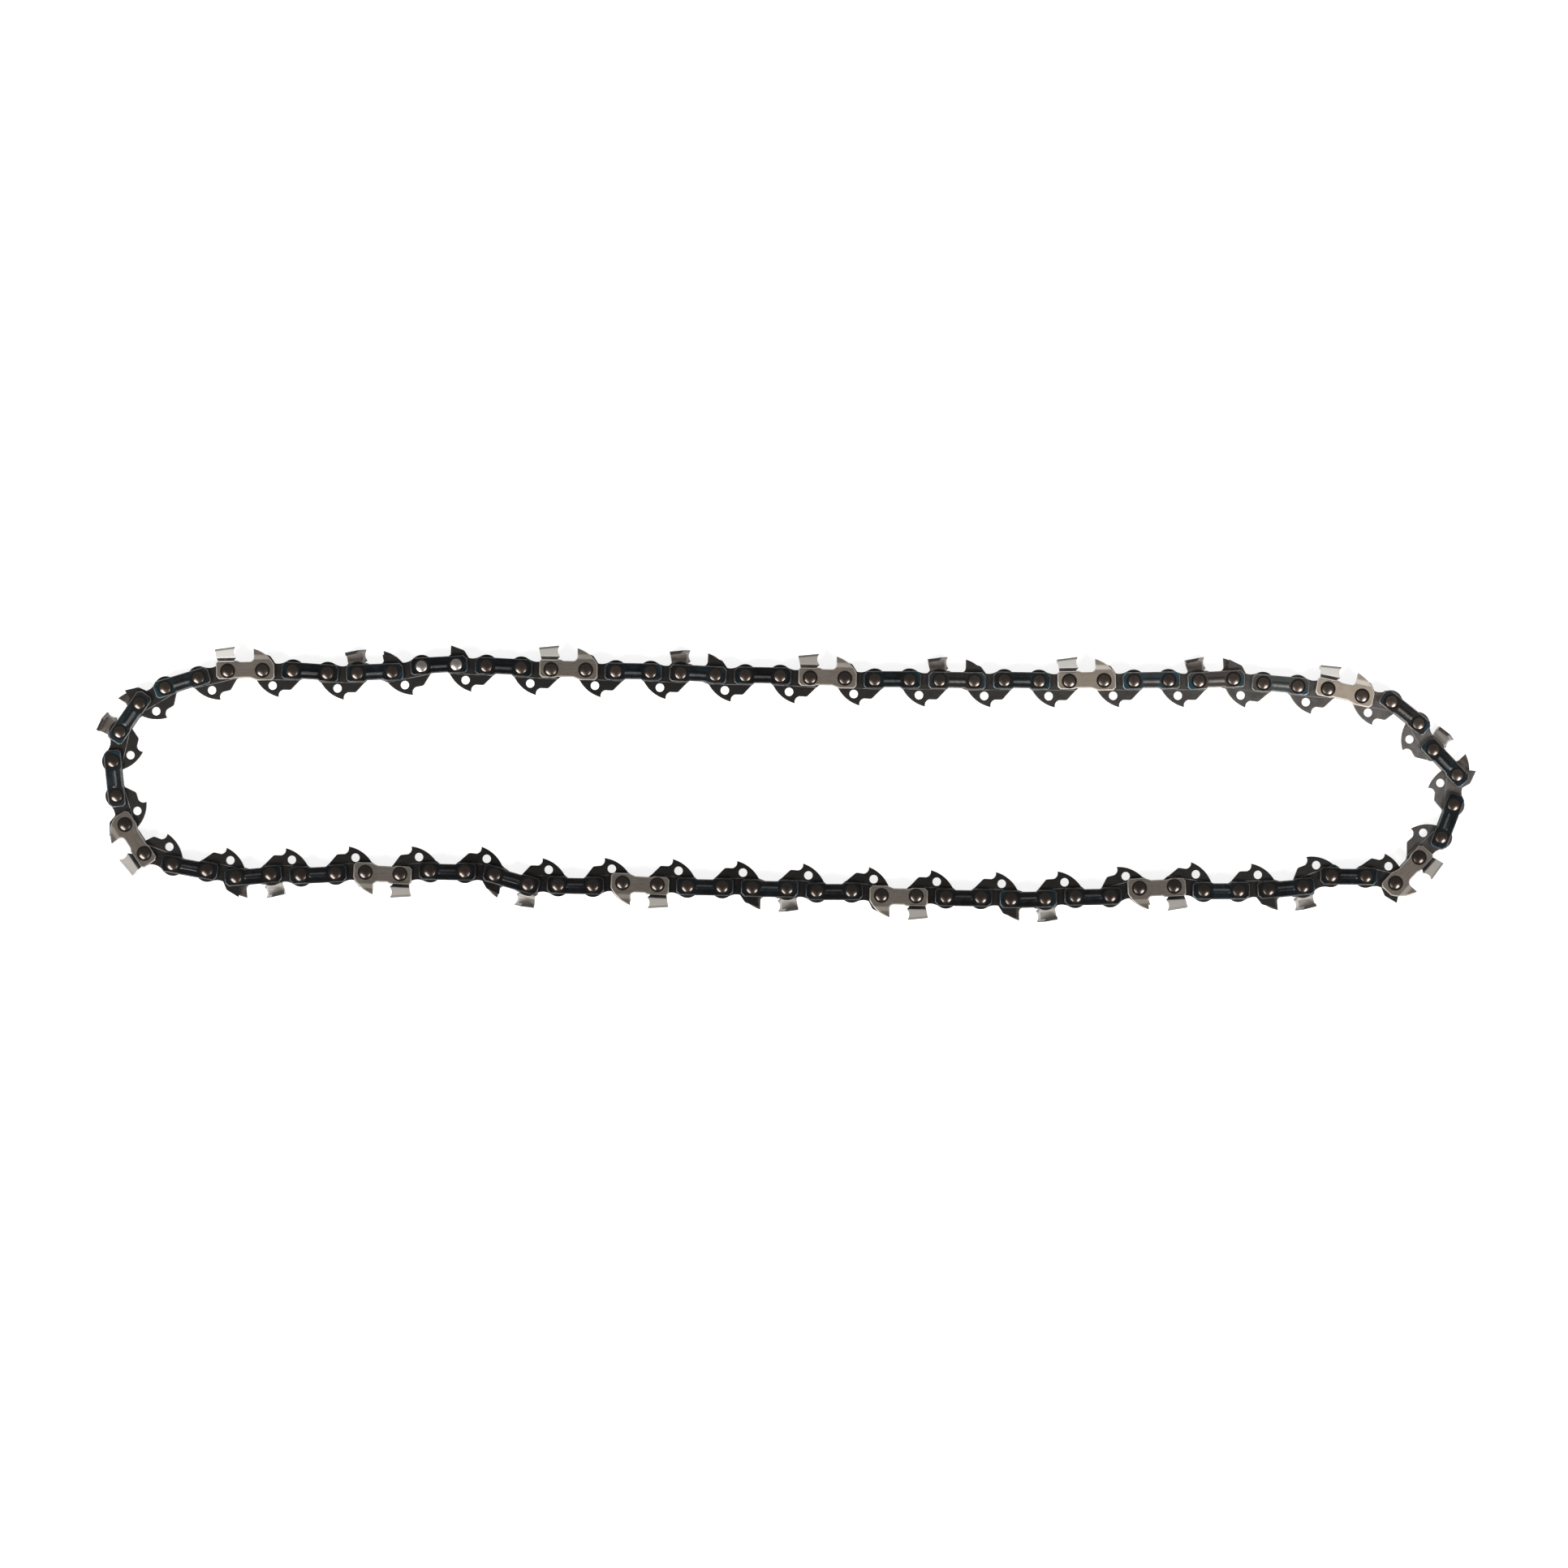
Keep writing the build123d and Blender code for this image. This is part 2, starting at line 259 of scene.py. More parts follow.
# Plate: the outline's insets stacked from the outer face, round the rim, to the inner face
def plateShape(outline, low, high, edge, rim):
    layers = rimLayers(outline, high, edge, rim)
    layers += [(ring, low + high - z, wearAndPaintedLight) for ring, z, wearAndPaintedLight in layers[::-1]]
    points, wearAndPaintedLight = stackRings(layers)
    count = len(outline)
    caps = [np.arange(count), len(points) - 1 - np.arange(count)]
    return makeShape(points, ringQuads(len(layers), count), caps, wearAndPaintedLight)


# Tie strap: a bar cut across its corners, waisted below, with a pressed rib between the rivets
strap = {
    "reach": 3.35,
    "top": 2.6,
    "shoulder": 1.1,
    "foot": 2.55,
    "waist": 2.1,
    "chamfer": 0.8,
    "footInner": 2.0,
    "waistSlope": 0.9,
    "edge": 0.38,
    "rim": 0.7,
    "ribLength": 5.6,
    "ribWidth": 1.8,
    "ribRise": 0.24,
    "ribSink": 0.015,
    "ribRoot": 0.3,
    "ribRunOut": 0.6,
    "ribPower": 2.5,
    "ribSteps": (19, 15),
    # painted highlight along the rib's inward flank, and painted shade along its outward foot
    "ribHighlight": (1.15, -0.32, 0.5),  # strength, middle across the rib, spread
    "ribShade": (0.7, 0.9, 0.22),
}


# Rib: height is rise times one less a power of the way across, with a smooth step in from each end.
# It carries a painted highlight along its inward flank and painted shade along its outward foot.
def ribShape(s, base):
    ways = [np.linspace(-1, 1, steps) for steps in s["ribSteps"]]
    along, across = np.meshgrid(*ways, indexing="ij")
    inEnd = rampShare((1 - np.abs(along)) * s["ribLength"] / 2, 0, s["ribRunOut"])
    rising = 3 * inEnd**2 - 2 * inEnd**3
    height = base - s["ribSink"] + s["ribRise"] * (1 - np.abs(across) ** s["ribPower"]) * rising
    crest = np.stack([along * s["ribLength"] / 2, across * s["ribWidth"] / 2, height], axis=-1)
    root = crest.copy()
    root[..., 2] = base - s["ribRoot"]
    band = np.concatenate([crest, root[:, ::-1]], axis=1)
    masks = []
    # the painted highlight rides in the wear attribute and the painted shade in the dark one
    for strength, middle, spread in (s["ribHighlight"], s["ribShade"]):
        mask = strength * np.exp(-(((across - middle) / spread) ** 2)) * rising
        masks.append(np.concatenate([mask, np.zeros_like(mask)], axis=1).ravel())
    return makeShape(band.reshape(-1, 3), bandQuads(*band.shape[:2]), (), *masks)


# Strap: the front half of its outline and that half's mirror image, stacked as a plate, with the rib on it
def strapShape(s=strap):
    end = halfOuter + s["reach"]
    front = np.array([
        (halfOuter - s["footInner"] - s["waistSlope"], -s["waist"]),
        (halfOuter - s["footInner"], -s["foot"]),
        (end - s["chamfer"], -s["foot"]),
        (end, s["chamfer"] - s["foot"]),
        (end, s["top"] - s["shoulder"]),
        (end - s["shoulder"], s["top"]),
    ])
    outline = closeRuns(front, front[::-1] * [-1, 1])
    body = plateShape(outline, plateInner, plateOuter, s["edge"], s["rim"])
    return joinShapes(body, ribShape(s, plateOuter))


# Cutter plate with its depth gauge ahead of the cutting part
cutter = {
    "tailReach": 3.45,
    "tailTop": 2.3,
    "tailFoot": 2.4,
    "noseReach": 3.5,
    "noseTop": 1.5,
    "noseFoot": 2.95,
    "chamfer": 0.85,
    "flareRoot": 3.0,
    "gulletHeight": 2.6,
    "gulletRound": 1.3,
    "gulletRamp": 0.5,
    "gulletSteps": 9,
    "gaugeSetting": 0.7,
    "gaugeTip": 2.5,
    "gaugeBelly": 0.85,
    "gaugeSteps": 14,
    "innerFaceShade": 0.85,  # painted shade on the face that lies against the drive link
    "edge": 0.36,
    "rim": 0.62,
}
# Cutting part: a side plate that flares out and a top plate that folds in, hollowed by a round file
tooth = {
    "rear": 3.6,
    "front": 3.2,
    "height": 7.1,
    "drop": 0.65,
    "lean": 0.22,
    "inset": 0.25,
    "shoulder": 3.85,
    "topPlate": 1.0,
    "overhang": 0.9,
    "tilt": 0.25,
    "outerRound": 0.6,
    "innerRound": 0.35,
    "bendRound": 0.45,
    "filingAngle": 28,
    "hook": 0.12,
    "fileRadius": 2.4,
    "fileDepth": 0.65,
    "bendSteps": 7,
    "sideRows": np.array([[0.25], [0.5], [0.75], [0.93]]),  # shares of the way up the side plate
    "roofSteps": 4,
    "steps": 14,
    # painted shade and browning by row of the section, counted from the root: the row where it starts and the
    # rows that it takes
    # painted shade on the bend of the flank
    "flankRows": [(1.5, 2), (11.5, -3)],
    "shoulderBrowning": [(0.5, 18, 1), (0.42, 21, 2)],
    "underShade": [(0.5, 24, 3)],
    "cutEdgeShade": 0.93,
    "filedWear": 1.0,
    "rearWear": 0.4,
    "edge": 0.09,
    "edgeAngle": 40,
    "edgeSegments": 2,
}
toothBack = -halfOuter - tooth["rear"]
toothFace = -halfOuter + tooth["front"]
gaugeHeight = tooth["height"] - cutter["gaugeSetting"]


# Outline from the nose over the gauge, the gullet and the tail and back underneath, stacked as a plate
def cutterPlateShape(c=cutter):
    nose = halfOuter + c["noseReach"]
    tail = -halfOuter - c["tailReach"]
    tip = (halfOuter - c["gaugeTip"], gaugeHeight)
    gulletCorner = (tip[0], c["gulletHeight"])
    gulletEnd = (toothFace + c["gulletRamp"], c["gulletHeight"])
    foot, slope = strap["footInner"], strap["waistSlope"]
    outline = closeRuns(
        bowRun((nose, c["noseTop"]), tip, -c["gaugeBelly"], c["gaugeSteps"]),
        cornerRun(tip, gulletCorner, gulletEnd, c["gulletRound"], c["gulletSteps"]),
        gulletEnd,
        (toothFace - tooth["hook"] * (tooth["height"] - c["flareRoot"]), c["flareRoot"]),
        (toothBack + tooth["lean"] * (tooth["height"] - tooth["drop"] - c["flareRoot"]), c["flareRoot"]),
        (tail, c["tailTop"]),
        (tail, c["chamfer"] - c["tailFoot"]),
        (tail + c["chamfer"], -c["tailFoot"]),
        (-halfOuter + foot - slope, -c["tailFoot"]),
        (-halfOuter + foot, -strap["waist"]),
        (halfOuter - foot - 2 * slope, -strap["waist"]),
        (halfOuter - foot + slope / 2, -c["noseFoot"]),
        (nose - c["chamfer"], -c["noseFoot"]),
        (nose, c["chamfer"] - c["noseFoot"]),
    )
    shape = plateShape(outline, plateInner, plateOuter, c["edge"], c["rim"])
    hidden = shape["points"][:, 2] < (plateInner + plateOuter) / 2
    shape["dark"] = np.where(hidden, c["innerFaceShade"], 0)
    return shape


# Section of the cutting part: an outer and an inner line, each rounded at its bends, point for point alike
def toothLines(drop, inset, t=tooth):
    top, side = t["height"] - drop, flareOuter - inset
    root, over = cutter["flareRoot"], -t["overhang"]
    half = loop["plate"] / 2
    outerCorners = [
        (root - half, plateOuter),
        (root, plateOuter),
        (t["shoulder"], side),
        (top, side),
        (top - t["tilt"], over),
    ]
    innerCorners = [
        (root - half / 2, plateInner),
        (root + half, plateInner),
        (t["shoulder"] + half, side - 2 * half),
        (top - t["topPlate"], side - 2 * half),
        (top - t["tilt"] - t["topPlate"], over),
    ]
    lines = []
    for corners, topRound in ((outerCorners, t["outerRound"]), (innerCorners, t["innerRound"])):
        radii = (t["bendRound"], t["bendRound"], topRound)
        bends = [cornerRun(*corners[n:n + 3], radii[n], t["bendSteps"]) for n in range(3)]
        middle = bends[1][-1] + (bends[2][0] - bends[1][-1]) * t["sideRows"]
        roof = np.linspace(bends[2][-1], corners[4], t["roofSteps"] + 1)[1:]
        lines.append(np.vstack([corners[0], bends[0], bends[1], middle, bends[2], roof]))
    return lines


# Surface point = mix of the rear and front section by the way along, with x mixed from the rear edge to the
# filed front edge, which lies in a slanted plane or in the file's round hollow, whichever is further back
def toothShape(t=tooth):
    rearLines, frontLines = toothLines(t["drop"], t["inset"]), toothLines(0, 0)
    slope = math.tan(math.radians(t["filingAngle"]))
    fileY = t["height"] - math.sqrt(t["fileRadius"] ** 2 - (t["fileRadius"] - t["fileDepth"]) ** 2)
    fileX = toothFace - t["hook"] * (t["height"] - fileY) + t["fileRadius"] - t["fileDepth"]
    along = np.linspace(0, 1, t["steps"])[None, :]
    sheets = []
    for rear, front in zip(rearLines, frontLines):
        rearX = toothBack + t["lean"] * (t["height"] - t["drop"] - rear[:, 0])
        planeX = toothFace + t["hook"] * (front[:, 0] - t["height"]) + slope * (front[:, 1] - flareOuter)
        hollow = np.sqrt(np.clip(t["fileRadius"] ** 2 - (front[:, 0] - fileY) ** 2, 0, None))
        hollowX = fileX + slope * (front[:, 1] - flareOuter) - hollow * math.hypot(1, slope)
        frontX = np.minimum(planeX, np.where(hollow > 0, hollowX, planeX))
        x = rearX[:, None] + (frontX - rearX)[:, None] * along
        y = rear[:, :1] + (front[:, :1] - rear[:, :1]) * along
        z = rear[:, 1:] + (front[:, 1:] - rear[:, 1:]) * along
        sheets.append(np.stack([x, y, z], axis=-1))
    band = np.concatenate([sheets[0], sheets[1][::-1]])
    rows, count = band.shape[:2]
    points = band.transpose(1, 0, 2).reshape(-1, 3)
    half = rows // 2
    # painted shade on the flank that turns upright, browner along the rounded shoulder, painted shade under
    # the roof, and the darkest painted shade on the cut edge
    row = np.arange(half)
    comes, goes = [rampShare(row, *rampRows) for rampRows in t["flankRows"]]
    shoulder = sum(share * rampShare(row, *rampRows) for share, *rampRows in t["shoulderBrowning"])
    under = sum(share * rampShare(row, *rampRows) for share, *rampRows in t["underShade"])
    ring = np.concatenate([np.maximum(comes * goes, shoulder), under[::-1]])
    ring[[half - 1, half]] = t["cutEdgeShade"]
    wearAndPaintedLight = np.zeros((count, rows))
    wearAndPaintedLight[-1] = t["filedWear"]
    wearAndPaintedLight[0] = t["rearWear"]
    return makeShape(points, bandQuads(count, rows), wearAndPaintedLight=wearAndPaintedLight.ravel(), dark=np.tile(ring, count))


# Drive link: two eyes, a hooked tang with an oil hole, and on some a bumper fin over the rear eye
driveLink = {
    "eyeRadius": 3.45,
    "eyeWaistAngle": 60,
    "eyeTangAngle": 58,
    "eyeSteps": 22,
    "heelSteps": 18,
    "waistHeight": 2.1,
    "waistSteps": 12,
    "tangDepth": 7.75,
    "tangTip": 0.3,
    "tangBelly": 0.85,
    "bellySteps": 16,
    "soleDepth": 5.6,
    "soleRear": 1.5,
    "soleFront": 3.8,
    "soleRound": 0.9,
    "soleSteps": 6,
    "scoop": 0.5,
    "scoopSteps": 8,
    "oilHole": 1.25,
    "oilHoleX": -1.55,
    "oilHoleDepth": 4.4,
    "oilHoleWear": 0.6,
    "finSetting": 0.8,
    "finRear": 1.9,
    "finCrownReach": 2.0,
    "finCrownHeight": 4.35,
    "finToeReach": 3.5,
    "finToeHeight": 2.2,
    "finRound": 1.2,
    "finSteps": 8,
    "faceShares": (0.12, 0.4, 0.7),  # rings on the flat face, as shares of the way from the hole to the rim
    "edge": 0.14,
    "rim": 0.5,
}


# Drive link: an outline of eye arcs, a bowed belly, a scooped sole and a bowed waist, and rings that run from
# the oil hole's wall over each face and round the rim, and close through the hole
def driveLinkShape(bumper, d=driveLink):
    radius = d["eyeRadius"]
    sweep = 180 - d["eyeWaistAngle"] + d["eyeTangAngle"]
    rearEye = arcRun((-halfDrive, 0), radius, d["eyeWaistAngle"], sweep, d["eyeSteps"])
    frontEye = arcRun((halfDrive, 0), radius, -d["eyeTangAngle"], sweep, d["eyeSteps"])
    tip = (d["tangTip"], -d["tangDepth"])
    soleStart = (d["soleRear"], -d["soleDepth"])
    soleCorner = (d["soleFront"], -d["soleDepth"])
    waist = bowRun(frontEye[-1], rearEye[0], frontEye[-1][1] - d["waistHeight"], d["waistSteps"])
    if bumper:
        finTip = (-halfDrive - d["finRear"], gaugeHeight - d["finSetting"])
        crown = (d["finCrownReach"] - halfDrive, d["finCrownHeight"])
        toe = (d["finToeReach"] - halfDrive, d["finToeHeight"])
        finTop = cornerRun(toe, crown, finTip, d["finRound"], d["finSteps"])
        waist = np.vstack([waist[waist[:, 0] > toe[0]], toe, finTop, finTip])
        heel = 180 - np.degrees(np.arccos(d["finRear"] / radius))
        rearEye = arcRun((-halfDrive, 0), radius, heel, 180 + d["eyeTangAngle"] - heel, d["heelSteps"])
    outline = closeRuns(
        rearEye,
        bowRun(rearEye[-1], tip, -d["tangBelly"], d["bellySteps"]),
        bowRun(tip, soleStart, d["scoop"], d["scoopSteps"]),
        cornerRun(soleStart, soleCorner, frontEye[0], d["soleRound"], d["soleSteps"]),
        frontEye,
        waist,
    )
    hole = np.array([d["oilHoleX"], -d["oilHoleDepth"]])
    toward = outline - hole
    toward /= np.linalg.norm(toward, axis=1, keepdims=True)
    half = loop["gauge"] / 2
    rimFace = rimLayers(outline, half, d["edge"], d["rim"])
    rimStart = rimFace[0][0]
    holeWall = hole + toward * d["oilHole"]
    holeEdge = hole + toward * (d["oilHole"] + d["edge"])
    layers = [(holeWall, half - d["edge"], d["oilHoleWear"]), (holeEdge, half, d["oilHoleWear"])]
    layers += [(holeEdge + (rimStart - holeEdge) * share, half, 0) for share in d["faceShares"]]
    layers += rimFace
    layers += [(ring, -z, wearAndPaintedLight) for ring, z, wearAndPaintedLight in layers[::-1]]
    points, wearAndPaintedLight = stackRings(layers)
    return makeShape(points, ringQuads(len(layers), len(outline), closed=True), wearAndPaintedLight=wearAndPaintedLight)


# Rivet: a hub between the plates, a shank in each plate and a domed head on each
rivet = {
    "hub": 1.95,
    "shank": 1.55,
    "head": 2.2,
    "headHeight": 0.6,
    "crown": 1.6,
    "crownFall": 0.4,
    "crownRings": 5,
    "shoulderOut": 0.45,
    "shoulderFall": 0.2,
    "shoulderEnd": 78,
    "shoulderRings": 9,
    "skirt": 0.08,
    # painted shade on the steep shoulder
    "paintedShade": (1.6, 0.09),  # radius where it starts, and how far out it takes
    "aroundSteps": 32,
}


# Profile turned about z: a crown that falls as the square of the way out, a shoulder that is part of an
# ellipse and leaves the crown at the same slope, a low skirt, then the shank and the hub
def rivetShape(r=rivet):
    top = plateOuter + r["headHeight"]
    inner = np.linspace(1 / r["crownRings"], 1, r["crownRings"])
    leaving = math.atan(2 * r["crownFall"] / r["crown"] * r["shoulderOut"] / r["shoulderFall"])
    out = np.linspace(leaving, math.radians(r["shoulderEnd"]), r["shoulderRings"] + 1)[1:]
    radii = np.concatenate([
        r["crown"] * inner,
        r["crown"] + r["shoulderOut"] * (np.sin(out) - math.sin(leaving)),
        [r["head"], r["head"], r["shank"], r["shank"], r["hub"]],
    ])
    heights = np.concatenate([
        top - r["crownFall"] * inner**2,
        top - r["crownFall"] - r["shoulderFall"] * (math.cos(leaving) - np.cos(out)),
        [plateOuter + r["skirt"], plateOuter, plateOuter, plateInner, plateInner],
    ])
    radii = np.concatenate([radii, radii[::-1]])
    heights = np.concatenate([heights, -heights[::-1]])
    rows, count = len(radii), r["aroundSteps"]
    turn = 2 * np.pi * np.arange(count) / count
    x = radii[:, None] * np.cos(turn)
    y = radii[:, None] * np.sin(turn)
    z = np.broadcast_to(heights[:, None], x.shape)
    points = np.stack([x, y, z], axis=-1).reshape(-1, 3)
    caps = [np.arange(count), len(points) - 1 - np.arange(count)]
    # the shoulder's painted shade rides in the wear attribute
    paintedShade = np.repeat(rampShare(radii, *r["paintedShade"]), count)
    return makeShape(points, ringQuads(rows, count), caps, wearAndPaintedLight=paintedShade)


nearStrap = strapShape()
farStrap = mirrorShape(nearStrap)
nearCutter = cutterPlateShape()
farCutter = mirrorShape(nearCutter)
nearTooth = toothShape()
farTooth = mirrorShape(nearTooth)
plainDrive = driveLinkShape(bumper=False)
bumperDrive = driveLinkShape(bumper=True)
domedRivet = rivetShape()
for shapeName, made in {"strap": nearStrap, "drive link": plainDrive, "rivet": domedRivet}.items():
    print("shape:", shapeName, "with", len(made["points"]), "points")


# Each input of a node takes a number, a colour, or a link from another node
def feed(tree, node, values):
    for key, value in values.items():
        socket = node.inputs[key]
        if isinstance(value, bpy.types.NodeSocket):
            tree.links.new(value, socket)
        elif socket.type == "RGBA":
            socket.default_value = (*value, 1.0)
        else:
            socket.default_value = value


# A noise node that reads a given place, with its scale set for millimetres
def addNoise(tree, place, scale, detail=3.0, rough=0.55):
    node = tree.nodes.new("ShaderNodeTexNoise")
    feed(tree, node, {"Vector": place, "Scale": scale, "Detail": detail, "Roughness": rough})
    return node.outputs["Fac"]


def addMath(tree, operation, first, second=0.5, clamp=False):
    node = tree.nodes.new("ShaderNodeMath")
    node.operation = operation
    node.use_clamp = clamp
    feed(tree, node, {0: first, 1: second})
    return node.outputs[0]


def addProduct(tree, first, second, clamp=False):
    return addMath(tree, "MULTIPLY", first, second, clamp)


# A smooth step between two values, from one share to another
def addRange(tree, value, low, high, shares=(0.0, 1.0)):
    node = tree.nodes.new("ShaderNodeMapRange")
    node.interpolation_type = "SMOOTHSTEP"
    feed(tree, node, {"Value": value, "From Min": low, "From Max": high})
    feed(tree, node, {"To Min": shares[0], "To Max": shares[1]})
    return node.outputs["Result"]


def addMix(tree, factor, first, second):
    node = tree.nodes.new("ShaderNodeMix")
    node.data_type = "RGBA"
    firstColour, secondColour = [i for i, socket in enumerate(node.inputs) if socket.type == "RGBA"]
    feed(tree, node, {0: factor, firstColour: first, secondColour: second})
    return [socket for socket in node.outputs if socket.type == "RGBA"][0]


def addAttribute(tree, name, output="Fac"):
    node = tree.nodes.new("ShaderNodeAttribute")
    node.attribute_name = name
    return node.outputs[output]


def addGroup(tree, group, values):
    node = tree.nodes.new("ShaderNodeGroup")
    node.node_tree = group
    feed(tree, node, values)
    return node.outputs


# An empty node group that reads a place and other numbers, and puts out masks
def newGroup(name, numbers, masks):
    group = bpy.data.node_groups.new(name, "ShaderNodeTree")
    group.interface.new_socket("Place", in_out="INPUT", socket_type="NodeSocketVector")
    for socketName in numbers:
        group.interface.new_socket(socketName, in_out="INPUT", socket_type="NodeSocketFloat")
    for socketName in masks:
        group.interface.new_socket(socketName, in_out="OUTPUT", socket_type="NodeSocketFloat")
    return group, group.nodes.new("NodeGroupInput").outputs, group.nodes.new("NodeGroupOutput")


# Rolled steel: streaks along the link, soft mottling, and a fine grain, from the place on the link
rolled = {
    "stretch": (0.12, 1.0, 1.0),
    "streaks": {"detail": 4.0, "rough": 0.6},
    "streakRange": (0.3, 0.7),
    "streakHeight": 0.6,
    "mottle": {"detail": 3.0, "rough": 0.5},
    "mottleRange": (0.32, 0.68),
    "grain": {"scale": 9.0, "detail": 4.0, "rough": 0.7},
}


def makeRolledSteel(p=rolled):
    masks = ["Streaks", "Mottle", "Height"]
    group, given, out = newGroup("rolledSteel", ["Streak Scale", "Mottle Scale"], masks)
    stretch = group.nodes.new("ShaderNodeMapping")
    feed(group, stretch, {"Vector": given["Place"], "Scale": p["stretch"]})
    streaks = addNoise(group, stretch.outputs["Vector"], given["Streak Scale"], **p["streaks"])
    mottle = addNoise(group, given["Place"], given["Mottle Scale"], **p["mottle"])
    grain = addNoise(group, given["Place"], **p["grain"])
    feed(group, out, {
        "Streaks": addRange(group, streaks, *p["streakRange"]),
        "Mottle": addRange(group, mottle, *p["mottleRange"]),
        "Height": addMath(group, "ADD", addProduct(group, streaks, p["streakHeight"]), grain),
    })
    return group


# Worn edges, and the painted highlight on the strap's rib: the rim's own mask and the rib's, broken up by
# noise
edgeChips = {
    "noise": {"scale": 1.6, "detail": 3.0, "rough": 0.6},
    "middle": 0.5,
    "range": (0.45, 1.05),
}


def makeEdgeWear(p=edgeChips):
    group, given, out = newGroup("edgeWear", ["Wear", "Break Up"], ["Mask"])
    noise = addMath(group, "SUBTRACT", addNoise(group, given["Place"], **p["noise"]), p["middle"])
    shaken = addMath(group, "ADD", given["Wear"], addProduct(group, noise, given["Break Up"]))
    feed(group, out, {"Mask": addRange(group, shaken, *p["range"])})
    return group


rolledSteel = makeRolledSteel()
edgeWear = makeEdgeWear()
patternSteps = (331.0, 173.0, 257.0)  # how far the tone moves a piece's patterns
reliefDepth = 0.04 / metre


# Common start of each finish: the piece's own place, its tone with painted light, its wear with painted
# highlight and shade, its darkness, which is mostly painted shade, and the two shared groups. The tone with
# its painted light, which differs from piece to piece, also moves each piece's patterns apart.
def startFinish(name, p):
    material = bpy.data.materials.new(name)
    material.use_nodes = True
    tree = material.node_tree
    place = addAttribute(tree, "place", "Vector")
    toneAndLight, wearAndPaintedLight, dark = [addAttribute(tree, key) for key in ("toneAndLight", "wearAndPaintedLight", "dark")]
    move = tree.nodes.new("ShaderNodeVectorMath")
    move.operation = "MULTIPLY_ADD"
    feed(tree, move, {0: toneAndLight, 1: patternSteps, 2: place})
    apart = move.outputs[0]
    scales = {"Streak Scale": p["streakScale"], "Mottle Scale": p["mottleScale"]}
    surface = addGroup(tree, rolledSteel, {"Place": apart, **scales})
    wornAndPaintedLight = addGroup(tree, edgeWear, {"Place": apart, "Wear": wearAndPaintedLight, "Break Up": p["breakUp"]})
    return {
        "material": material,
        "tree": tree,
        "place": place,
        "apart": apart,
        "toneAndLight": toneAndLight,
        "wearAndPaintedLight": wearAndPaintedLight,
        "dark": dark,
        "streaks": surface["Streaks"],
        "mottle": surface["Mottle"],
        "height": surface["Height"],
        "wornAndPaintedLight": wornAndPaintedLight["Mask"],
    }


# One axis of the place on the link
def placeAxis(f, axis):
    split = f["tree"].nodes.new("ShaderNodeSeparateXYZ")
    feed(f["tree"], split, {"Vector": f["place"]})
    return split.outputs[axis]


def closeFinish(f, colour, roughness, p):
    tree = f["tree"]
    relief = tree.nodes.new("ShaderNodeBump")
    feed(tree, relief, {"Strength": p["bump"], "Distance": reliefDepth, "Height": f["height"]})
    feed(tree, tree.nodes["Principled BSDF"], {
        "Base Color": colour,
        "Roughness": addRange(tree, roughness, 0.0, 1.0, p["rough"]),
        "Normal": relief.outputs["Normal"],
        "Metallic": p["metallic"],
        "Specular IOR Level": p["specular"],
        "Coat Weight": p["oil"],
        "Coat Roughness": p["oilRough"],
    })
    return f["material"]


# In a finish, a range says where a smooth step starts and ends, and its shares there if not 0 and 1.
# Blued strap: blue-black, or warm grey where its tone and painted light are high, with teal patches that
# gather at its ends, edges worn paler with painted highlight, a painted highlight along the rib and painted
# shade along its foot, under a film of oil
bluedFinish = {
    "black": (0.0036, 0.0036, 0.0045),
    # warm grey of the painted light where the tone is high
    "grey": (0.175, 0.152, 0.137),
    "teal": (0.014, 0.075, 0.105),
    "edge": (0.058, 0.061, 0.068),
    # pale colour of worn edges, and of the painted highlight on edges and rib
    "rubAndHighlight": (0.80, 0.73, 0.65),
    # painted shade along the rib's foot
    "paintedShade": (0.006, 0.006, 0.008),
    "greyTones": (0.18, 1.0),
    "tealEnds": (2.0, 8.0, (0.35, 1.0)),
    "tealPatches": (0.1, 0.7, (0.35, 1.0)),
    "tealTones": (0.05, 0.5),
    "tealDrift": (0.42, 0.58, (0.15, 1.0)),
    "driftNoise": {"scale": 0.07, "detail": 1.0},
    "rubAndHighlightTones": (0.0, 0.6, (0.0, 0.5)),
    "streakShare": 0.07,
    "wornShare": 0.6,
    "streakScale": 4.0,
    "mottleScale": 0.45,
    "breakUp": 0.9,
    "rough": (0.30, 0.46),
    "metallic": 0.45,
    "specular": 0.2,
    "bump": 0.25,
    "oil": 0.22,
    "oilRough": 0.14,
}


def makeBluedSteel(p=bluedFinish):
    f = startFinish("bluedSteel", p)
    tree, toneAndLight = f["tree"], f["toneAndLight"]
    ends = addRange(tree, addMath(tree, "ABSOLUTE", placeAxis(f, "X")), *p["tealEnds"])
    patches = addProduct(tree, addRange(tree, f["mottle"], *p["tealPatches"]), ends)
    drift = addRange(tree, addNoise(tree, f["apart"], **p["driftNoise"]), *p["tealDrift"])
    lively = addProduct(tree, drift, addRange(tree, toneAndLight, *p["tealTones"]))
    tealShare = addProduct(tree, patches, lively, clamp=True)
    paleRubAndHighlight = addMix(tree, addRange(tree, toneAndLight, *p["rubAndHighlightTones"]), p["edge"], p["rubAndHighlight"])
    colour = addMix(tree, addRange(tree, toneAndLight, *p["greyTones"]), p["black"], p["grey"])
    colour = addMix(tree, addProduct(tree, f["streaks"], p["streakShare"]), colour, p["edge"])
    colour = addMix(tree, tealShare, colour, p["teal"])
    colour = addMix(tree, addProduct(tree, f["wornAndPaintedLight"], p["wornShare"]), colour, paleRubAndHighlight)
    colour = addMix(tree, f["dark"], colour, p["paintedShade"])
    return closeFinish(f, colour, f["mottle"], p)


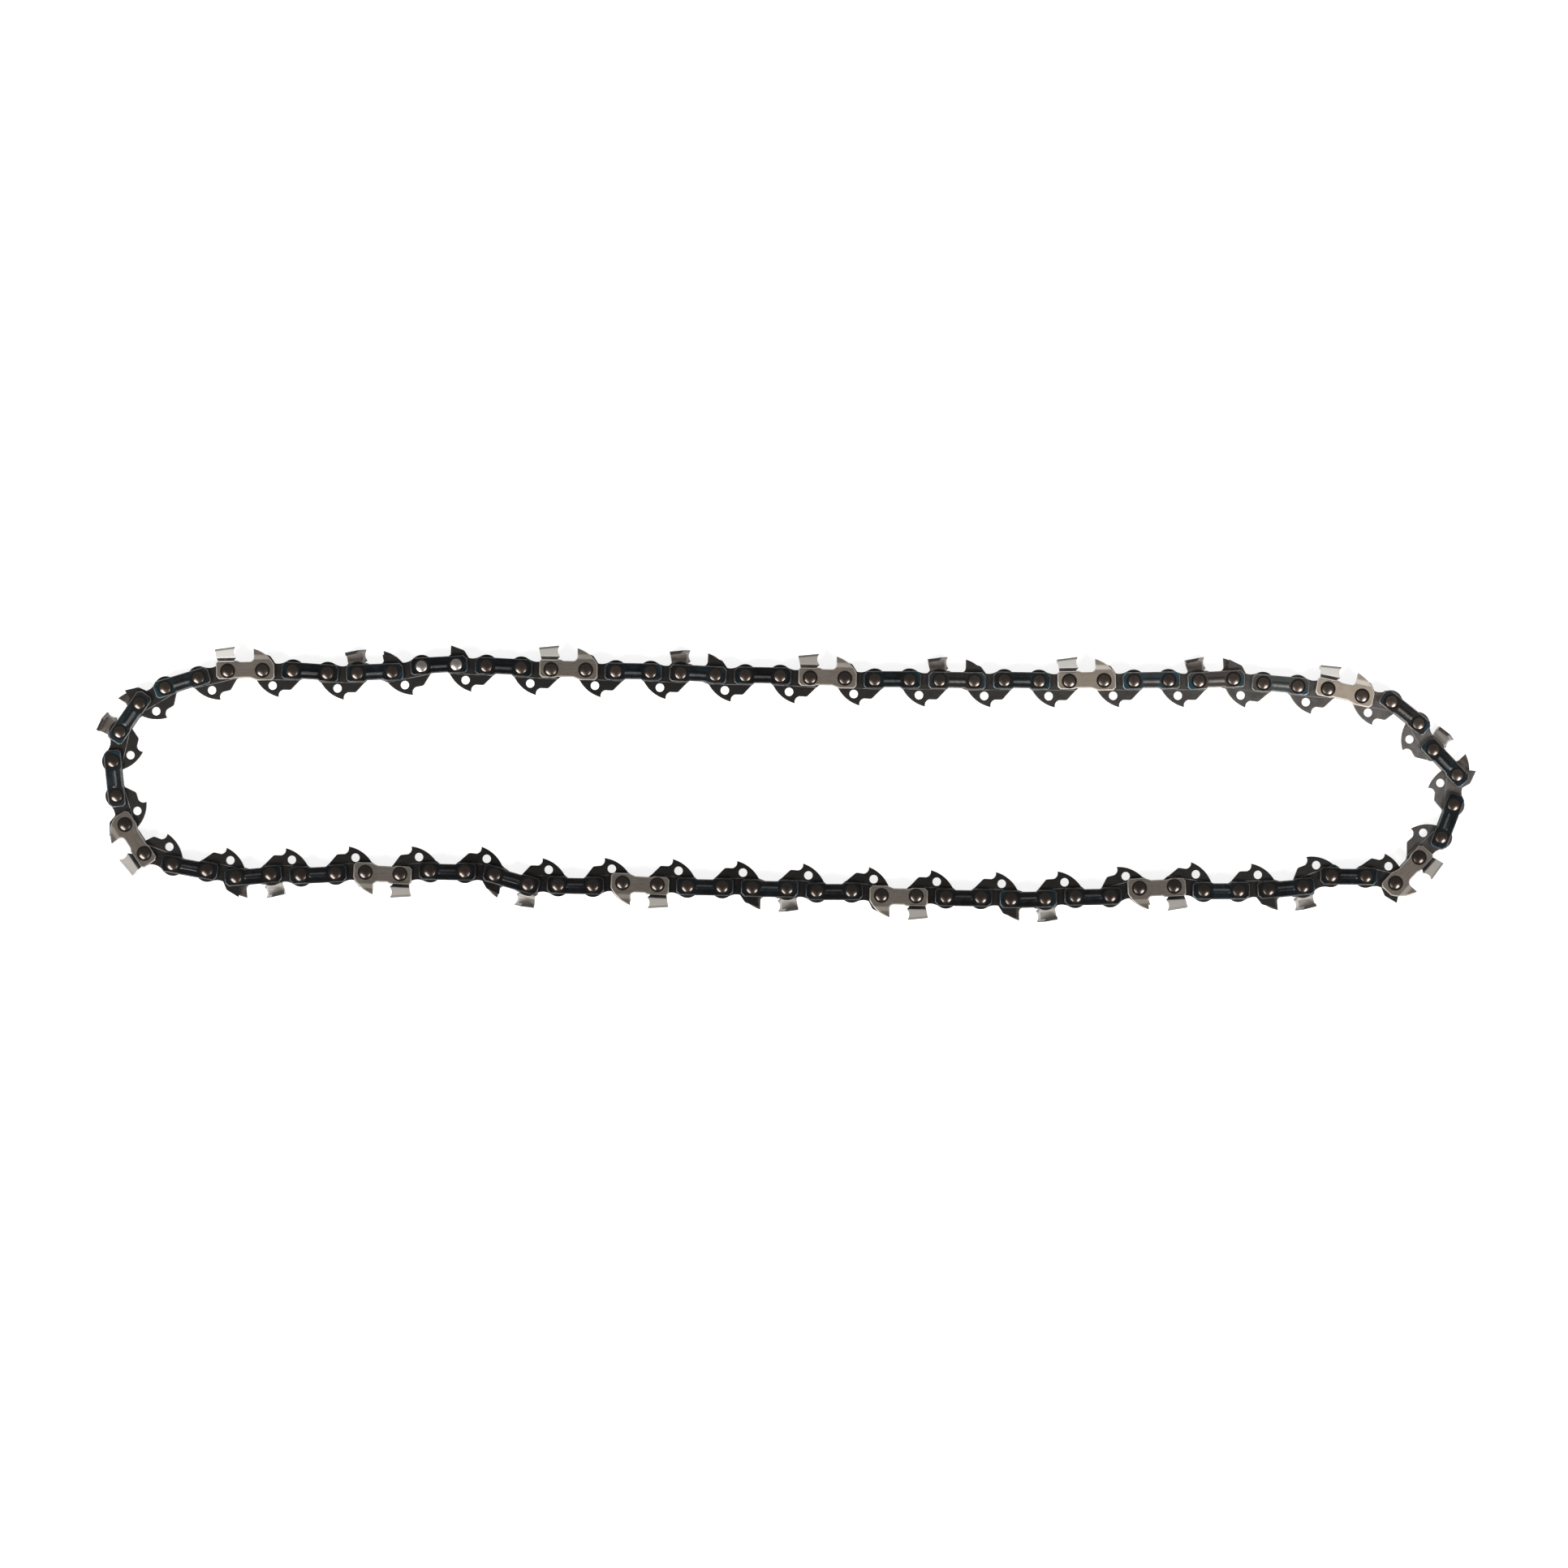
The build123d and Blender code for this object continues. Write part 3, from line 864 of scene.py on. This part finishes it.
# Drive link: brown-black oxide that greys with each link's tone and painted light, with a painted highlight
# line where the straps end
oxideFinish = {
    "brown": (0.0062, 0.0054, 0.0051),
    # grey of the painted light where the tone is high
    "grey": (0.43, 0.395, 0.37),
    "smudge": (0.022, 0.0195, 0.018),
    # pale colour of the painted highlight line where the straps end
    "rubAndHighlight": (0.40, 0.395, 0.39),
    "edge": (0.10, 0.095, 0.09),
    "lineHeight": -2.66,
    "lineWidth": (0.14, 0.03),
    "lineTones": (0.01, 0.06, (0.25, 1.0)),
    "lineBreaks": (0.0, 0.8, (0.25, 0.9)),
    "smudgeShare": 0.3,
    "wornShare": 0.35,
    "streakScale": 3.0,
    "mottleScale": 0.5,
    "breakUp": 0.6,
    "rough": (0.36, 0.54),
    "metallic": 0.45,
    "specular": 0.25,
    "bump": 0.35,
    "oil": 0.12,
    "oilRough": 0.22,
}


def makeOxideSteel(p=oxideFinish):
    f = startFinish("oxideSteel", p)
    tree, toneAndLight = f["tree"], f["toneAndLight"]
    away = addMath(tree, "ABSOLUTE", addMath(tree, "SUBTRACT", placeAxis(f, "Y"), p["lineHeight"]))
    strength = addRange(tree, toneAndLight, *p["lineTones"])
    broken = addProduct(tree, strength, addRange(tree, f["mottle"], *p["lineBreaks"]))
    line = addProduct(tree, addRange(tree, away, *p["lineWidth"]), broken)
    colour = addMix(tree, toneAndLight, p["brown"], p["grey"])
    colour = addMix(tree, addProduct(tree, f["mottle"], p["smudgeShare"]), colour, p["smudge"])
    colour = addMix(tree, addProduct(tree, f["wornAndPaintedLight"], p["wornShare"]), colour, p["edge"])
    colour = addMix(tree, line, colour, p["rubAndHighlight"])
    return closeFinish(f, colour, f["streaks"], p)


# Cutter plate: warm bronze-grey satin plating, sandier with painted light, with a pale rim that is worn and
# brightened by painted highlight, a painted gleam under the cutting part, and painted shade on its inner face
platedFinish = {
    "bronze": (0.069, 0.0575, 0.0505),
    # sand where the tone and its painted light are high
    "sand": (0.80, 0.665, 0.52),
    "stain": (0.085, 0.071, 0.061),
    # painted shade on the inner face
    "paintedShade": (0.060, 0.046, 0.040),
    # pale colour of streaks, worn rims, the painted highlight on the rims and the painted gleam
    "edge": (0.92, 0.85, 0.76),
    "gleamFrom": (3.0, 3.5),
    "gleamTo": (4.9, 4.2),
    "gleamTones": (0.0, 0.5, (0.16, 0.75)),
    "rimTones": (0.0, 0.5, (0.3, 0.8)),
    "stainShare": 0.3,
    "streakShare": 0.05,
    "streakScale": 3.2,
    "mottleScale": 0.38,
    "breakUp": 0.5,
    "rough": (0.32, 0.48),
    "metallic": 0.3,
    "specular": 0.4,
    "bump": 0.3,
    "oil": 0.15,
    "oilRough": 0.25,
}


def makePlatedSteel(p=platedFinish):
    f = startFinish("platedSteel", p)
    tree, toneAndLight, height = f["tree"], f["toneAndLight"], placeAxis(f, "Y")
    rising, falling = [addRange(tree, height, *p[key]) for key in ("gleamFrom", "gleamTo")]
    gleam = addProduct(tree, addProduct(tree, rising, falling), addRange(tree, toneAndLight, *p["gleamTones"]))
    rubAndHighlight = addProduct(tree, f["wornAndPaintedLight"], addRange(tree, toneAndLight, *p["rimTones"]))
    colour = addMix(tree, toneAndLight, p["bronze"], p["sand"])
    colour = addMix(tree, addProduct(tree, f["mottle"], p["stainShare"]), colour, p["stain"])
    colour = addMix(tree, addProduct(tree, f["streaks"], p["streakShare"]), colour, p["edge"])
    colour = addMix(tree, gleam, colour, p["edge"])
    colour = addMix(tree, rubAndHighlight, colour, p["edge"])
    colour = addMix(tree, f["dark"], colour, p["paintedShade"])
    return closeFinish(f, colour, f["mottle"], p)


# Cutting part: hard plating from bright to brown by its tone and painted light, with painted shade in its
# bend, under its roof and on its cut edge, browner along its shoulder, greyer where it is filed
chromeFinish = {
    "bright": (0.95, 0.92, 0.87),
    "cool": (0.39, 0.360, 0.325),
    "brown": (0.22, 0.187, 0.162),
    "shadeAndBrowning": (0.030, 0.024, 0.025),
    "filed": (0.46, 0.43, 0.395),
    "coolTones": (0.0, 0.5),
    "brownTones": (0.5, 1.0),
    "streakShare": 0.2,
    "wornShare": 0.5,
    "streakScale": 5.0,
    "mottleScale": 0.6,
    "breakUp": 0.3,
    "rough": (0.24, 0.36),
    "metallic": 0.12,
    "specular": 0.5,
    "bump": 0.2,
    "oil": 0.2,
    "oilRough": 0.12,
}


def makeHardChrome(p=chromeFinish):
    f = startFinish("hardChrome", p)
    tree, toneAndLight = f["tree"], f["toneAndLight"]
    colour = addMix(tree, addRange(tree, toneAndLight, *p["coolTones"]), p["bright"], p["cool"])
    colour = addMix(tree, addRange(tree, toneAndLight, *p["brownTones"]), colour, p["brown"])
    colour = addMix(tree, addProduct(tree, f["streaks"], p["streakShare"]), colour, p["cool"])
    colour = addMix(tree, addProduct(tree, f["wornAndPaintedLight"], p["wornShare"]), colour, p["filed"])
    colour = addMix(tree, f["dark"], colour, p["shadeAndBrowning"])
    return closeFinish(f, colour, f["streaks"], p)


# Rivet: polished head with a dark brown crown, paler with painted light in the upper right, and a near-black
# shoulder of painted shade, paler on the joining link
rivetFinish = {
    # painted shade on the rivet's shoulder
    "paintedShade": (0.036, 0.031, 0.028),
    "brown": (0.066, 0.050, 0.041),
    # crown paled by painted light where the tone is high
    "pale": (0.25, 0.192, 0.158),
    "steel": (0.62, 0.56, 0.52),
    "paleTones": (0.0, 0.6),
    "paleMottle": (0.0, 1.0, (0.65, 1.0)),
    "steelTones": (0.65, 0.85),
    "roughTones": (0.1, 0.6),
    "streakScale": 2.0,
    "mottleScale": 0.9,
    "breakUp": 0.4,
    "rough": (0.29, 0.33),
    "metallic": 1.0,
    "specular": 0.5,
    "bump": 0.12,
    "oil": 0.7,
    "oilRough": 0.08,
}


def makeRivetSteel(p=rivetFinish):
    f = startFinish("rivetSteel", p)
    tree, toneAndLight = f["tree"], f["toneAndLight"]
    mottled = addRange(tree, f["mottle"], *p["paleMottle"])
    paleShare = addProduct(tree, addRange(tree, toneAndLight, *p["paleTones"]), mottled)
    colour = addMix(tree, paleShare, p["brown"], p["pale"])
    colour = addMix(tree, addRange(tree, toneAndLight, *p["steelTones"]), colour, p["steel"])
    colour = addMix(tree, f["wearAndPaintedLight"], colour, p["paintedShade"])
    return closeFinish(f, colour, addRange(tree, toneAndLight, *p["roughTones"]), p)


finishes = {
    "strap": {"material": makeBluedSteel(), "slot": "strap_steel"},
    "drive": {"material": makeOxideSteel(), "slot": "drive_steel"},
    "cutter": {"material": makePlatedSteel(), "slot": "cutter_steel"},
    "tooth": {"material": makeHardChrome(), "slot": "cutter_steel"},
    "rivet": {"material": makeRivetSteel(), "slot": "rivet_steel"},
}
print("finishes:", ", ".join(finishes))

firstUpper, lastUpper = min(loop["upperFolds"]), max(loop["upperFolds"])
firstLower, lastLower = min(loop["lowerFolds"]), max(loop["lowerFolds"])


def driveNode(k):
    while k not in folds:
        k -= 1
    return f"link_{k + 1:02d}_{'drive_link' if kinds[k] == 'tie_straps' else 'bumper_drive_link'}"


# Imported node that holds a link's pieces: its own, its neighbour's in a run, or its bend's by kind
def nodeFor(k, group, onDrive):
    if k in folds and not onDrive:
        return f"link_{k + 1:02d}_{kinds[k]}"
    inUpper = firstUpper <= k < lastUpper
    inLower = firstLower <= k < lastLower
    if inUpper or inLower:
        return driveNode(k)
    bend = "right_bend" if lastUpper <= k < firstLower else "left_bend"
    return f"{bend}_{group}"


# Light on the finishes by a link's place in the loop: where each share starts, and how far it takes.
# The upper right glows more than the rest, but the straps beyond strapGlow stay blue.
loopLight = {
    "right": (-200, 400),
    "upper": (-25, 50),
    "leftEnd": (-80, -200),
    "strapGlow": (168, -10),
}
# Tone of each finish: its shares of that light, and the range of chance that is added
tones = {
    "cutter": ({"all": 0.02, "upper": 0.08, "right": 0.1, "leftEnd": 0.12, "glow": 0.6}, (-0.02, 0.04)),
    "outerTooth": ({"all": 0.48, "upperEnds": -0.46}, (-0.06, 0.06)),
    "innerTooth": ({"all": 0.45, "right": -0.2, "upper": 0.45, "upperRight": 0.07}, (-0.1, 0.1)),
    "strap": ({"all": 0.04, "upper": 0.08, "right": 0.2, "leftEnd": 0.25, "strapGlow": 0.62}, (-0.04, 0.1)),
    "rivet": ({"upper": 0.12, "glow": 0.32}, (0.0, 0.14)),
    "joiningRivet": ({}, (0.76, 0.84)),
    "drive": ({"upperLeft": 0.04, "farRight": 0.06, "leftEnd": 0.07, "glow": 0.56}, (0.0, 0.02)),
}


def lightAt(k, p=loopLight):
    x, y = linkMiddles[2 * k]
    right, upper = rampShare(x, *p["right"]), rampShare(y, *p["upper"])
    glow = upper * right**4
    return {
        "all": 1,
        "upper": upper,
        "upperLeft": upper * (1 - right),
        "upperRight": upper * right,
        "upperEnds": upper * abs(2 * right - 1),
        "right": right**2,
        "farRight": right**4,
        "leftEnd": rampShare(x, *p["leftEnd"]),
        "glow": glow,
        "strapGlow": glow * rampShare(x, *p["strapGlow"]),
    }


def toneOf(name, light):
    shares, added = tones[name]
    return sum(share * light[key] for key, share in shares.items()) + chance.uniform(*added)


# Every piece of the loop: its shape, finish, and tone with painted light, its link and place along it, and
# its node
pieces = []


def addPiece(k, group, shape, finish, toneAndLight, along=0):
    onDrive = finish == "drive"
    pieces.append({
        "shape": shape,
        "finish": finish,
        "toneAndLight": toneAndLight,
        "index": 2 * k + onDrive,
        "along": along,
        "node": nodeFor(k, group, onDrive),
    })


# A right cutter shows the camera the outside of its tooth, and a left cutter the inside
for k, kind in enumerate(kinds):
    light = lightAt(k)
    onRight, onLeft = kind == "right_cutter", kind == "left_cutter"
    if onRight or onLeft:
        # each tone is mostly painted light and shade from the piece's place, with a little chance added
        plateToneAndLight = toneOf("cutter", light)
        outerToneAndLight = toneOf("outerTooth", light)
        innerToneAndLight = toneOf("innerTooth", light)
        toothToneAndLight = outerToneAndLight if onRight else innerToneAndLight
        addPiece(k, f"{kind}s", nearCutter if onRight else farCutter, "cutter", plateToneAndLight)
        addPiece(k, f"{kind}s", nearTooth if onRight else farTooth, "tooth", toothToneAndLight)
    for shape, cut in ((nearStrap, onRight), (farStrap, onLeft)):
        if not cut:
            addPiece(k, "tie_straps", shape, "strap", toneOf("strap", light))
    for along in (-halfOuter, halfOuter):
        rivetToneAndLight = toneOf("joiningRivet" if kind == "joining_straps" else "rivet", light)
        addPiece(k, "rivets", domedRivet, "rivet", rivetToneAndLight, along)
    driveShape = plainDrive if kind == "tie_straps" else bumperDrive
    addPiece(k, "drive_links", driveShape, "drive", toneOf("drive", light))
print("pieces:", len(pieces))


# Points of a piece in metres: turned by its link's heading, then moved to its link's middle
def placePoints(piece):
    i = piece["index"]
    c, s = np.cos(headings[i]), np.sin(headings[i])
    local = piece["shape"]["points"] + [piece["along"], 0, 0]
    turned = local @ np.array([[c, s, 0], [-s, c, 0], [0, 0, 1]])
    return (turned + [*linkMiddles[i], midHeight]) / metre


def putInScene(name, data):
    made = bpy.data.objects.new(name, data)
    scene.collection.objects.link(made)
    return made


sharpAngle = 38


# One object for the pieces of a node that share a finish
def buildObject(name, members, finish):
    joined = joinShapes(*[m["shape"] for m in members])
    quads, caps = joined["quads"], joined["caps"]
    points = np.vstack([placePoints(m) for m in members])
    totals = np.concatenate([np.full(len(quads), 4), [len(cap) for cap in caps]]).astype(np.int32)
    corners = np.concatenate([quads.ravel(), *caps]).astype(np.int32)
    mesh = bpy.data.meshes.new(name)
    mesh.vertices.add(len(points))
    mesh.vertices.foreach_set("co", points.ravel())
    mesh.loops.add(len(corners))
    mesh.loops.foreach_set("vertex_index", corners)
    mesh.polygons.add(len(totals))
    mesh.polygons.foreach_set("loop_start", np.concatenate([[0], np.cumsum(totals)[:-1]]).astype(np.int32))
    mesh.update(calc_edges=True)
    mesh.validate()
    counts = [len(m["shape"]["points"]) for m in members]
    values = {
        "wearAndPaintedLight": joined["wearAndPaintedLight"],
        "dark": joined["dark"],
        "toneAndLight": np.repeat([m["toneAndLight"] for m in members], counts),
    }
    for key, value in values.items():
        mesh.attributes.new(key, "FLOAT", "POINT").data.foreach_set("value", value.astype(np.float32))
    place = mesh.attributes.new("place", "FLOAT_VECTOR", "POINT")
    place.data.foreach_set("vector", joined["points"].ravel().astype(np.float32))
    mesh.polygons.foreach_set("use_smooth", np.ones(len(totals), bool))
    mesh.set_sharp_from_angle(angle=math.radians(sharpAngle))
    mesh.materials.append(finishes[finish]["material"])
    return putInScene(name, mesh)


grouped = {}
for piece in pieces:
    grouped.setdefault((piece["node"], piece["finish"]), []).append(piece)
for (node, finish), members in grouped.items():
    made = buildObject(f"{node}.{finish}", members, finish)
    if finish == "tooth":
        soften = made.modifiers.new("softEdges", "BEVEL")
        soften.width = tooth["edge"] / metre
        soften.segments = tooth["edgeSegments"]
        soften.limit_method = "ANGLE"
        soften.angle_limit = math.radians(tooth["edgeAngle"])
    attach(made, bodyOfNode[node])
    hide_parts(node)
print("objects:", len(grouped))

# Pale floor that shows white to the camera and keeps the loop's shadow
stage = {
    "floorSize": 6.0,
    "floorDrop": 0.00002,
    "floorColour": (0.86, 0.86, 0.86),
    "floorRough": 0.9,
    "white": (1.0, 1.0, 1.0),
    "glow": 0.78,
    "worldStrength": 0.22,
    "horizon": (0.2, 0.08),
}


# White to the camera, through clear pieces, and in gloss as far as the share given
def showWhite(tree, glossShare=1.0):
    ray = tree.nodes.new("ShaderNodeLightPath").outputs
    gloss = addProduct(tree, ray["Is Glossy Ray"], glossShare)
    seen = addMath(tree, "MAXIMUM", ray["Is Camera Ray"], gloss)
    return addMath(tree, "MAXIMUM", seen, ray["Is Transmission Ray"])


def makeFloor(p=stage):
    half = p["floorSize"] / 2
    corners = [(-half, -half), (half, -half), (half, half), (-half, half)]
    mesh = bpy.data.meshes.new("floor")
    mesh.from_pydata([(x, y, -p["floorDrop"]) for x, y in corners], [], [(0, 1, 2, 3)])
    material = bpy.data.materials.new("paleFloor")
    material.use_nodes = True
    tree = material.node_tree
    feed(tree, tree.nodes["Principled BSDF"], {
        "Base Color": p["floorColour"],
        "Roughness": p["floorRough"],
        "Specular IOR Level": 0.0,
        "Emission Color": p["white"],
        "Emission Strength": addProduct(tree, showWhite(tree), p["glow"]),
    })
    material.cycles.emission_sampling = "NONE"  # the glow is only for show and lights nothing
    mesh.materials.append(material)
    floor = putInScene("floor", mesh)


def makeWorld(p=stage):
    world = bpy.data.worlds.new("studio")
    scene.world = world
    world.use_nodes = True
    tree = world.node_tree
    split = tree.nodes.new("ShaderNodeSeparateXYZ")
    feed(tree, split, {"Vector": tree.nodes.new("ShaderNodeTexCoord").outputs["Generated"]})
    seen = showWhite(tree, addRange(tree, split.outputs["Z"], *p["horizon"]))
    white = addProduct(tree, seen, 1.0 - p["worldStrength"])
    strength = addMath(tree, "ADD", white, p["worldStrength"])
    feed(tree, tree.nodes["Background"], {"Color": p["white"], "Strength": strength})


# Two soft boxes, to the lower left and lower right of the picture
lamps = {
    "lowerLeft": {"at": (-0.62, -0.58, 0.66), "size": (0.75, 0.3), "watts": 9.0},
    "lowerRight": {"at": (0.62, -0.58, 0.68), "size": (0.5, 0.26), "watts": 6.4},
}


def makeLamps():
    for name, p in lamps.items():
        lamp = bpy.data.lights.new(name, "AREA")
        lamp.shape = "RECTANGLE"
        lamp.size, lamp.size_y = p["size"]
        lamp.energy = p["watts"]
        made = putInScene(name, lamp)
        made.location = p["at"]
        toward = -made.location.normalized()
        made.rotation_euler = toward.to_track_quat("-Z", "Y").to_euler()


# Camera straight above the loop, as far off as its lens needs for the photo's frame
camera = {"frameWidth": 0.4615, "distance": 1.1, "sensor": 36.0, "moveX": -0.00054, "moveY": -0.00003}


def makeCamera(p=camera):
    data = bpy.data.cameras.new("above")
    data.sensor_fit = "HORIZONTAL"
    data.sensor_width = p["sensor"]
    data.lens = p["sensor"] * p["distance"] / p["frameWidth"]
    made = putInScene("above", data)
    made.location = (p["moveX"], p["moveY"], p["distance"] + midHeight / metre)
    scene.camera = made


makeFloor()
makeWorld()
makeLamps()
makeCamera()
print("stage set")
